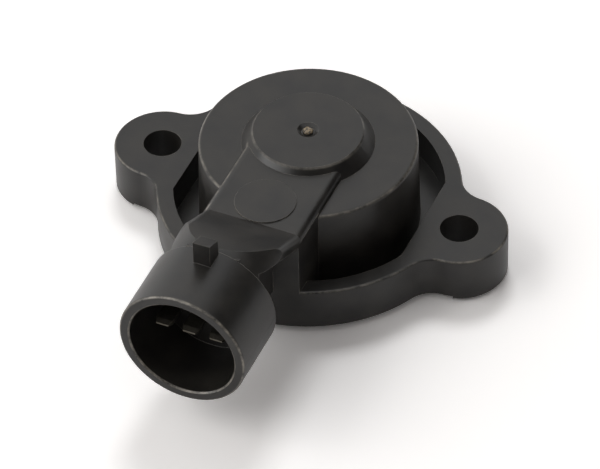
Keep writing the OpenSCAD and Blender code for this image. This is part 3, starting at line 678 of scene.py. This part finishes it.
@dataclass
class ReturnSpring:
    """Torsion spring of round wire, with a tang at each end that stands in its hole."""

    wire_mm: float = 0.9
    coil_r_mm: float = 10.6
    turns: int = 4
    start_deg: float = -60.0
    bottom_mm: float = 3.15
    top_mm: float = 8.55
    low_tang_mm: float = 1.5
    high_tang_mm: float = 10.6
    steps: int = 288
    bend_mm: float = 0.5

    def build(self, finish: bpy.types.Material) -> bpy.types.Object:
        """Bends the wire by a formula on its points, then gives it its thickness.

        Args:
            finish: The spring wire's material.

        Returns:
            The spring.
        """
        recipe = Recipe(
            "return_spring_wire",
            {
                "Wire radius": self.wire_mm / 2 * MM,
                "Coil radius": self.coil_r_mm * MM,
                "Start": math.radians(self.start_deg),
                "Sweep": math.radians(360 * self.turns),
                "Bottom": self.bottom_mm * MM,
                "Rise": (self.top_mm - self.bottom_mm) * MM,
                "Low tang": (self.low_tang_mm - self.bottom_mm) * MM,
                "High tang": (self.high_tang_mm - self.top_mm) * MM,
                "Bend": self.bend_mm * MM,
                "Last step": self.steps,
                "Points": self.steps + 3,
            },
        )
        given = recipe.given
        points = recipe.node("GeometryNodeMeshLine", {"Count": given["Points"]})
        index = recipe.node("GeometryNodeInputIndex")
        step = recipe.node("ShaderNodeMath", {0: index, 1: 1.0}, operation="SUBTRACT")
        share = recipe.node(
            "ShaderNodeMath", {0: step, 1: given["Last step"]}, operation="DIVIDE", use_clamp=True
        )
        angle = recipe.node(
            "ShaderNodeMath", {0: share, 1: given["Sweep"], 2: given["Start"]}, operation="MULTIPLY_ADD"
        )
        east = recipe.node("ShaderNodeMath", {0: angle}, operation="COSINE")
        north = recipe.node("ShaderNodeMath", {0: angle}, operation="SINE")
        across = recipe.node("ShaderNodeMath", {0: east, 1: given["Coil radius"]}, operation="MULTIPLY")
        along = recipe.node("ShaderNodeMath", {0: north, 1: given["Coil radius"]}, operation="MULTIPLY")
        wound = recipe.node(
            "ShaderNodeMath", {0: share, 1: given["Rise"], 2: given["Bottom"]}, operation="MULTIPLY_ADD"
        )
        first = recipe.node("ShaderNodeMath", {0: index, 1: 0.5}, operation="LESS_THAN")
        last = recipe.node("ShaderNodeMath", {0: step, 1: given["Last step"]}, operation="GREATER_THAN")
        with_low = recipe.node(
            "ShaderNodeMath", {0: first, 1: given["Low tang"], 2: wound}, operation="MULTIPLY_ADD"
        )
        height = recipe.node(
            "ShaderNodeMath", {0: last, 1: given["High tang"], 2: with_low}, operation="MULTIPLY_ADD"
        )
        spot = recipe.node("ShaderNodeCombineXYZ", {0: across, 1: along, 2: height})
        bent = recipe.node("GeometryNodeSetPosition", {0: points, "Position": spot})
        line = recipe.node("GeometryNodeMeshToCurve", {0: bent})
        soft = recipe.node(
            "GeometryNodeFilletCurve",
            {"Curve": line, "Radius": given["Bend"], "Count": 5, "Limit Radius": True}, mode="POLY",
        )
        run = recipe.node("GeometryNodeSplineParameter").outputs["Length"]
        kept_run = recipe.node("GeometryNodeCaptureAttribute", {0: soft})
        kept_run.capture_items.new("FLOAT", "Run")
        recipe.tree.links.new(run, kept_run.inputs["Run"])
        circle = recipe.node(
            "GeometryNodeCurvePrimitiveCircle", {"Resolution": 16, "Radius": given["Wire radius"]}
        )
        kept_round = recipe.node("GeometryNodeCaptureAttribute", {0: circle})
        kept_round.capture_items.new("FLOAT", "Round")
        round_run = recipe.node("GeometryNodeSplineParameter").outputs["Length"]
        recipe.tree.links.new(round_run, kept_round.inputs["Round"])
        wire = recipe.node(
            "GeometryNodeCurveToMesh", {"Curve": kept_run, "Profile Curve": kept_round, "Fill Caps": True}
        )
        wire_place = recipe.node(
            "ShaderNodeCombineXYZ", {0: kept_run.outputs["Run"], 1: kept_round.outputs["Round"]}
        )
        stored = recipe.node(
            "GeometryNodeStoreNamedAttribute", {0: wire, "Name": "wire_place", "Value": wire_place},
            data_type="FLOAT_VECTOR",
        )
        return recipe.grow(stored, finish, 50)


@dataclass
class WaveWasher:
    """Spring washer with three waves, which takes up the rotor's play."""

    inner_mm: float = 2.75
    outer_mm: float = 4.25
    sheet_mm: float = 0.2
    low_mm: float = 13.03
    swing_mm: float = 0.17
    waves: int = 3

    def build(self, finish: bpy.types.Material) -> bpy.types.Object:
        """Sweeps the sheet's section round a waving circle.

        Args:
            finish: The washer's steel.

        Returns:
            The washer.
        """
        recipe = Recipe(
            "wave_washer_ring",
            {
                "Ring radius": (self.inner_mm + self.outer_mm) / 2 * MM,
                "Width": (self.outer_mm - self.inner_mm) * MM,
                "Sheet": self.sheet_mm * MM,
                "Middle height": (self.low_mm + self.sheet_mm / 2 + self.swing_mm) * MM,
                "Swing": self.swing_mm * MM,
                "Waves": float(self.waves),
                "Edge": self.sheet_mm / 4 * MM,
            },
        )
        given = recipe.given
        circle = recipe.node(
            "GeometryNodeCurvePrimitiveCircle", {"Resolution": 120, "Radius": given["Ring radius"]}
        )
        round_share = recipe.node("GeometryNodeSplineParameter").outputs["Factor"]
        turn = recipe.node("ShaderNodeMath", {0: round_share, 1: given["Waves"]}, operation="MULTIPLY")
        angle = recipe.node("ShaderNodeMath", {0: turn, 1: math.tau}, operation="MULTIPLY")
        wave = recipe.node("ShaderNodeMath", {0: angle}, operation="COSINE")
        rise = recipe.node(
            "ShaderNodeMath", {0: wave, 1: given["Swing"], 2: given["Middle height"]},
            operation="MULTIPLY_ADD",
        )
        offset = recipe.node("ShaderNodeCombineXYZ", {2: rise})
        waved = recipe.node("GeometryNodeSetPosition", {0: circle, "Offset": offset})
        level = recipe.node("GeometryNodeSetCurveNormal", {0: waved}, mode="Z_UP")
        box = recipe.node(
            "GeometryNodeCurvePrimitiveQuadrilateral", {"Width": given["Width"], "Height": given["Sheet"]}
        )
        section = recipe.node(
            "GeometryNodeFilletCurve", {"Curve": box, "Radius": given["Edge"], "Count": 2}, mode="POLY"
        )
        swept = recipe.node("GeometryNodeCurveToMesh", {"Curve": level, "Profile Curve": section})
        return recipe.grow(swept, finish, 50)


@dataclass
class SolderJoints:
    """Three solder fillets, one where each terminal's leg comes through the board."""

    pitch_mm: float = 2.7
    from_axis_mm: float = 11.4
    board_side_mm: float = 14.0
    height_mm: float = 0.7
    foot_r_mm: float = 1.15
    tip_r_mm: float = 0.94
    hollow: float = 2.2

    def build(self, finish: bpy.types.Material) -> bpy.types.Object:
        """Grows one hollow-sided cone and sets it on the three legs.

        Args:
            finish: The solder.

        Returns:
            The three joints as one piece.
        """
        recipe = Recipe(
            "solder_joints",
            {
                "Pitch": self.pitch_mm * MM,
                "From axis": -self.from_axis_mm * MM,
                "Board side": self.board_side_mm * MM,
                "Height": self.height_mm * MM,
                "Foot radius": self.foot_r_mm * MM,
                "Shrink": 1 - self.tip_r_mm / self.foot_r_mm,
                "Hollow": self.hollow,
            },
        )
        given = recipe.given
        cone = recipe.node(
            "GeometryNodeMeshCylinder",
            {
                "Vertices": 32, "Side Segments": 6, "Fill Segments": 4,
                "Radius": given["Foot radius"], "Depth": given["Height"],
            },
        )
        place = recipe.node("GeometryNodeInputPosition")
        apart = recipe.node("ShaderNodeSeparateXYZ", {0: place})
        share = recipe.node("ShaderNodeMath", {0: apart.outputs["Z"], 1: given["Height"]}, operation="DIVIDE")
        down = recipe.node("ShaderNodeMath", {0: 0.5, 1: share}, operation="SUBTRACT", use_clamp=True)
        near_board = recipe.node("ShaderNodeMath", {0: 1.0, 1: down}, operation="SUBTRACT")
        curve = recipe.node("ShaderNodeMath", {0: near_board, 1: given["Hollow"]}, operation="POWER")
        far = recipe.node("ShaderNodeMath", {0: 1.0, 1: curve}, operation="SUBTRACT")
        narrow = recipe.node("ShaderNodeMath", {0: far, 1: given["Shrink"]}, operation="MULTIPLY")
        width = recipe.node("ShaderNodeMath", {0: 1.0, 1: narrow}, operation="SUBTRACT")
        across = recipe.node("ShaderNodeMath", {0: apart.outputs["X"], 1: width}, operation="MULTIPLY")
        along = recipe.node("ShaderNodeMath", {0: apart.outputs["Y"], 1: width}, operation="MULTIPLY")
        middle = recipe.node("ShaderNodeMath", {0: given["Height"], 1: -0.5}, operation="MULTIPLY")
        height = recipe.node("ShaderNodeMath", {0: apart.outputs["Z"], 1: middle}, operation="ADD")
        spot = recipe.node("ShaderNodeCombineXYZ", {0: across, 1: along, 2: height})
        fillet = recipe.node("GeometryNodeSetPosition", {0: cone, "Position": spot})
        back = recipe.node("ShaderNodeMath", {0: given["Pitch"], 1: -1.0}, operation="MULTIPLY")
        start = recipe.node(
            "ShaderNodeCombineXYZ", {0: back, 1: given["From axis"], 2: given["Board side"]}
        )
        stride = recipe.node("ShaderNodeCombineXYZ", {0: given["Pitch"]})
        row = recipe.node("GeometryNodeMeshLine", {"Count": 3, "Start Location": start, "Offset": stride})
        legs = recipe.node("GeometryNodeInstanceOnPoints", {"Points": row, "Instance": fillet})
        return recipe.grow(legs, finish, 50)


@dataclass
class EjectorMarks:
    """Low round witness marks under the flange, where pins pushed the housing out of its mould."""

    count: int = 8
    from_axis_mm: float = 21.6
    mark_r_mm: float = 1.1
    proud_mm: float = 0.05
    sunk_mm: float = 0.03
    face_mm: float = 0.5
    turn_deg: float = 22.5

    def build(self, finish: bpy.types.Material) -> bpy.types.Object:
        """Sets one mark on each of the pins' places.

        Args:
            finish: The housing's material.

        Returns:
            The marks as one piece.
        """
        recipe = Recipe(
            "ejector_marks",
            {
                "Count": self.count,
                "From axis": self.from_axis_mm * MM,
                "Mark radius": self.mark_r_mm * MM,
                "Thickness": (self.proud_mm + self.sunk_mm) * MM,
                "Middle height": (self.face_mm + (self.sunk_mm - self.proud_mm) / 2) * MM,
                "Turn": math.radians(self.turn_deg),
            },
        )
        given = recipe.given
        ring = recipe.node(
            "GeometryNodeMeshCircle", {"Vertices": given["Count"], "Radius": given["From axis"]}
        )
        lift = recipe.node("ShaderNodeCombineXYZ", {2: given["Middle height"]})
        spin = recipe.node("ShaderNodeCombineXYZ", {2: given["Turn"]})
        spots = recipe.node("GeometryNodeTransform", {0: ring, "Translation": lift, "Rotation": spin})
        disc = recipe.node(
            "GeometryNodeMeshCylinder",
            {"Vertices": 40, "Radius": given["Mark radius"], "Depth": given["Thickness"]},
        )
        marks = recipe.node("GeometryNodeInstanceOnPoints", {"Points": spots, "Instance": disc})
        return recipe.grow(marks, finish, 40)


@dataclass
class Housing:
    """The black moulding with all that is fixed in it."""

    def build(self) -> None:
        """Dresses the moulding, the cover, the board and the terminals, and adds the fine forms."""
        polymer = HOUSING_POLYMER.build()
        rubber = SEAL_RUBBER.build()
        dress_nodes(polymer, "housing")
        dress_nodes(COVER_POLYMER.build(), "rear_cover")
        dress_nodes(BOARD_LAMINATE.build(), "element_board")
        dress_nodes(CARBON_INK.build(), "resistive_track")
        dress_nodes(SILVER_INK.build(), "collector_track", "supply_lead", "signal_lead", "ground_lead")
        dress_nodes(TINNED_BRASS_IN_PAINTED_SHADE.build(), "supply_terminal", "signal_terminal", "ground_terminal")
        settle(GateStub().build(TORN_POLYMER.build()), Body.HOUSING, "black_plastic")
        settle(EjectorMarks().build(polymer), Body.HOUSING, "black_plastic")
        mounting = SealRing(
            "mounting_seal_ring", inner_mm=17.05, outer_mm=18.15, low_mm=0.0, high_mm=1.6, corner_mm=0.25
        )
        settle(mounting.build(rubber), Body.HOUSING, "seal_rubber", "mounting_seal")
        journal = SealRing(
            "rotor_seal_ring", inner_mm=7.25, outer_mm=8.35, low_mm=2.7, high_mm=4.2, corner_mm=0.3
        )
        settle(journal.build(rubber), Body.HOUSING, "seal_rubber", "rotor_seal")
        joints = SolderJoints().build(SOLDER.build())
        settle(joints, Body.HOUSING, "solder", "supply_solder", "signal_solder", "ground_solder")
        washer = WaveWasher().build(WASHER_STEEL.build())
        settle(washer, Body.HOUSING, "spring_steel", "wave_washer")
        coil = ReturnSpring()
        settle_between(
            coil.build(SPRING_STEEL.build()), coil.bottom_mm + coil.wire_mm, coil.top_mm - coil.wire_mm,
            "spring_steel", "return_spring",
        )


@dataclass
class Rotor:
    """The turning part with its wiper."""

    def build(self) -> None:
        """Dresses the rotor and the wiper."""
        dress_nodes(ROTOR_POLYMER.build(), "rotor")
        dress_nodes(CONTACT_BRONZE.build(), "wiper")


@dataclass
class PhotoCamera:
    """The camera, where the photograph was taken from."""

    place_m: tuple[float, float, float] = (0.23742, -0.51932, 0.54800)
    azimuth_deg: float = 24.743
    elevation_deg: float = 43.98
    roll_deg: float = -1.504
    lens_mm: float = 288.03
    sensor_mm: float = 36.0

    def build(self) -> None:
        """Sets the camera up and makes it the scene's own."""
        data = bpy.data.cameras.new("photo_camera")
        data.lens = self.lens_mm
        data.sensor_width = self.sensor_mm
        data.sensor_fit = "HORIZONTAL"
        data.clip_start = 0.01
        data.clip_end = 20.0
        camera = bpy.data.objects.new("photo_camera", data)
        bpy.context.scene.collection.objects.link(camera)
        camera.matrix_world = (
            Matrix.Translation(self.place_m)
            @ Matrix.Rotation(math.radians(self.azimuth_deg), 4, "Z")
            @ Matrix.Rotation(math.radians(90 - self.elevation_deg), 4, "X")
            @ Matrix.Rotation(math.radians(self.roll_deg), 4, "Z")
        )
        bpy.context.scene.camera = camera
        log.info("photo_camera: %.1f mm lens", self.lens_mm)


def facing_object(towards: tuple[float, float, float], distance_m: float) -> Matrix:
    """Finds the place of a lamp or card that faces the object.

    Args:
        towards: Direction from the origin to it.
        distance_m: How far out it stands.

    Returns:
        Its matrix, with its front turned to the origin.
    """
    way = Vector(towards).normalized()
    return Matrix.Translation(way * distance_m) @ way.to_track_quat("Z", "Y").to_matrix().to_4x4()


def square_mesh(name: str, half_x: float, half_y: float, material: bpy.types.Material) -> bpy.types.Mesh:
    """Makes a flat rectangle that faces up.

    Args:
        name: The mesh's name.
        half_x: Half of its width in metres.
        half_y: Half of its height in metres.
        material: Its material.

    Returns:
        The mesh.
    """
    corners = [(-half_x, -half_y, 0), (half_x, -half_y, 0), (half_x, half_y, 0), (-half_x, half_y, 0)]
    mesh = bpy.data.meshes.new(name)
    mesh.from_pydata(corners, [], [(0, 1, 2, 3)])
    mesh.materials.append(material)
    return mesh


class Reach(Enum):
    """What a lamp's light does: it lights surfaces, shows in their gloss, or both."""

    LIGHTS = "lights"
    SHINES = "shines"
    BOTH = "both"


@dataclass
class Lamp:
    """A soft box: an area lamp that faces the object."""

    name: str
    towards: tuple[float, float, float]
    distance_m: float
    size_m: tuple[float, float]
    brightness: float
    colour: str = "#ffffff"
    reach: Reach = Reach.BOTH

    def build(self) -> None:
        """Hangs the lamp and turns it to the object."""
        data = bpy.data.lights.new(self.name, "AREA")
        data.shape = "RECTANGLE"
        data.size, data.size_y = self.size_m
        data.energy = self.brightness * math.pi * self.size_m[0] * self.size_m[1]
        data.color = linear(self.colour)[:3]
        lamp = bpy.data.objects.new(self.name, data)
        lamp.visible_glossy = self.reach is not Reach.LIGHTS
        lamp.visible_diffuse = self.reach is not Reach.SHINES
        bpy.context.scene.collection.objects.link(lamp)
        lamp.matrix_world = facing_object(self.towards, self.distance_m)
        log.info("%s: brightness %.2f", self.name, self.brightness)


@dataclass
class Card:
    """A dark card that only darkens what the faces reflect."""

    name: str
    towards: tuple[float, float, float]
    distance_m: float
    size_m: tuple[float, float]
    colour: str

    def build(self) -> None:
        """Stands the card and turns it to the object."""
        material = bpy.data.materials.new(self.name)
        material.use_nodes = True
        tree = material.node_tree
        tree.nodes.clear()
        paper = add_node(tree, "ShaderNodeEmission", {"Color": linear(self.colour)})
        add_node(tree, "ShaderNodeOutputMaterial", {"Surface": paper})
        mesh = square_mesh(self.name, self.size_m[0] / 2, self.size_m[1] / 2, material)
        card = bpy.data.objects.new(self.name, mesh)
        card.matrix_world = facing_object(self.towards, self.distance_m)
        card.visible_camera = False
        card.visible_diffuse = False
        card.visible_shadow = False
        card.visible_transmission = False
        bpy.context.scene.collection.objects.link(card)


@dataclass
class Studio:
    """Pale floor, plain white surroundings, soft boxes and dark cards."""

    floor_colour: str = "#f8f8f8"
    floor_lift: float = 1.44
    floor_m: float = 6.0
    gap_mm: float = 0.8
    fill_colour: str = "#fffaf8"
    fill: float = 0.32
    lamps: tuple[Lamp, ...] = (
        Lamp("key_box", (-0.2, 0.49, 0.85), 1.5, (0.45, 0.45), 9.4, "#ffffff", Reach.LIGHTS),
        Lamp("front_left_box", (-0.56, -0.56, 0.62), 1.5, (1.1, 1.1), 1.9, "#fffdfb", Reach.LIGHTS),
        Lamp("left_side_box", (-0.79, 0.0, 0.62), 1.5, (1.1, 1.1), 1.3, "#fffdfb", Reach.LIGHTS),
        Lamp("left_box", (-0.63, -0.75, 0.24), 0.9, (0.85, 0.35), 3.0, "#ffffff", Reach.SHINES),
        Lamp("over_box", (-0.30, 0.0, 0.95), 0.9, (0.25, 0.25), 3.0, "#ffffff", Reach.SHINES),
        Lamp("under_box", (0.0, 0.0, -1.0), 0.5, (0.6, 0.6), 1.0),
    )
    cards: tuple[Card, ...] = (
        Card("front_card", (0.41, -0.82, 0.41), 0.6, (0.7, 0.5), "#2e2e2e"),
        Card("right_card", (0.97, 0.0, 0.30), 0.6, (0.7, 0.5), "#232323"),
        Card("far_right_card", (0.62, 0.62, 0.47), 0.62, (0.6, 0.5), "#2e2e2e"),
        Card("back_card", (-0.38, 0.92, 0.12), 0.22, (0.22, 0.11), "#616161"),
    )

    def build(self) -> None:
        """Builds the surroundings, the floor, the cards and the lamps."""
        self.build_world()
        self.build_floor()
        for thing in (*self.cards, *self.lamps):
            thing.build()

    def build_world(self) -> None:
        """Makes plain white surroundings, lower and a little warm where they only fill shadows."""
        world = bpy.data.worlds.new("white_room")
        bpy.context.scene.world = world
        world.use_nodes = True
        world.cycles.sampling_method = "NONE"
        tree = world.node_tree
        tree.nodes.clear()
        ray = add_node(tree, "ShaderNodeLightPath")
        seen = add_node(tree, "ShaderNodeBackground", {"Color": linear("#ffffff"), "Strength": 1.0})
        fill = add_node(
            tree, "ShaderNodeBackground", {"Color": linear(self.fill_colour), "Strength": self.fill}
        )
        room = add_node(tree, "ShaderNodeMixShader", {0: ray.outputs["Is Diffuse Ray"], 1: seen, 2: fill})
        add_node(tree, "ShaderNodeOutputWorld", {"Surface": room})

    def build_floor(self) -> None:
        """Lays a matt white floor, clear from underneath so that views from below see the object."""
        material = bpy.data.materials.new("matt_white_floor")
        material.use_nodes = True
        tree = material.node_tree
        tree.nodes.clear()
        ray = add_node(tree, "ShaderNodeLightPath")
        paint = linear(self.floor_colour)
        bright = tuple(share * self.floor_lift for share in paint[:3]) + (1.0,)
        tone = add_node(
            tree, "ShaderNodeMix", {"Factor": ray.outputs["Is Camera Ray"], 6: paint, 7: bright},
            data_type="RGBA",
        )
        matt = add_node(tree, "ShaderNodeBsdfDiffuse", {"Color": tone.outputs[2]})
        clear = add_node(tree, "ShaderNodeBsdfTransparent")
        side = add_node(tree, "ShaderNodeNewGeometry").outputs["Backfacing"]
        see_through = add_node(
            tree, "ShaderNodeMath", {0: side, 1: ray.outputs["Is Shadow Ray"]}, operation="MAXIMUM"
        )
        one_sided = add_node(tree, "ShaderNodeMixShader", {0: see_through, 1: matt, 2: clear})
        add_node(tree, "ShaderNodeOutputMaterial", {"Surface": one_sided})
        mesh = square_mesh("floor", self.floor_m / 2, self.floor_m / 2, material)
        floor = bpy.data.objects.new("floor", mesh)
        floor.location.z = -self.gap_mm * MM
        bpy.context.scene.collection.objects.link(floor)


def main() -> None:
    """Builds the camera, the studio and the sensor in order."""
    logging.basicConfig(level=logging.INFO, format="%(name)s: %(message)s")
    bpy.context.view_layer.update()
    bpy.context.scene.view_settings.view_transform = "Standard"
    PhotoCamera().build()
    Studio().build()
    Housing().build()
    Rotor().build()


if __name__ == "__main__":
    main()
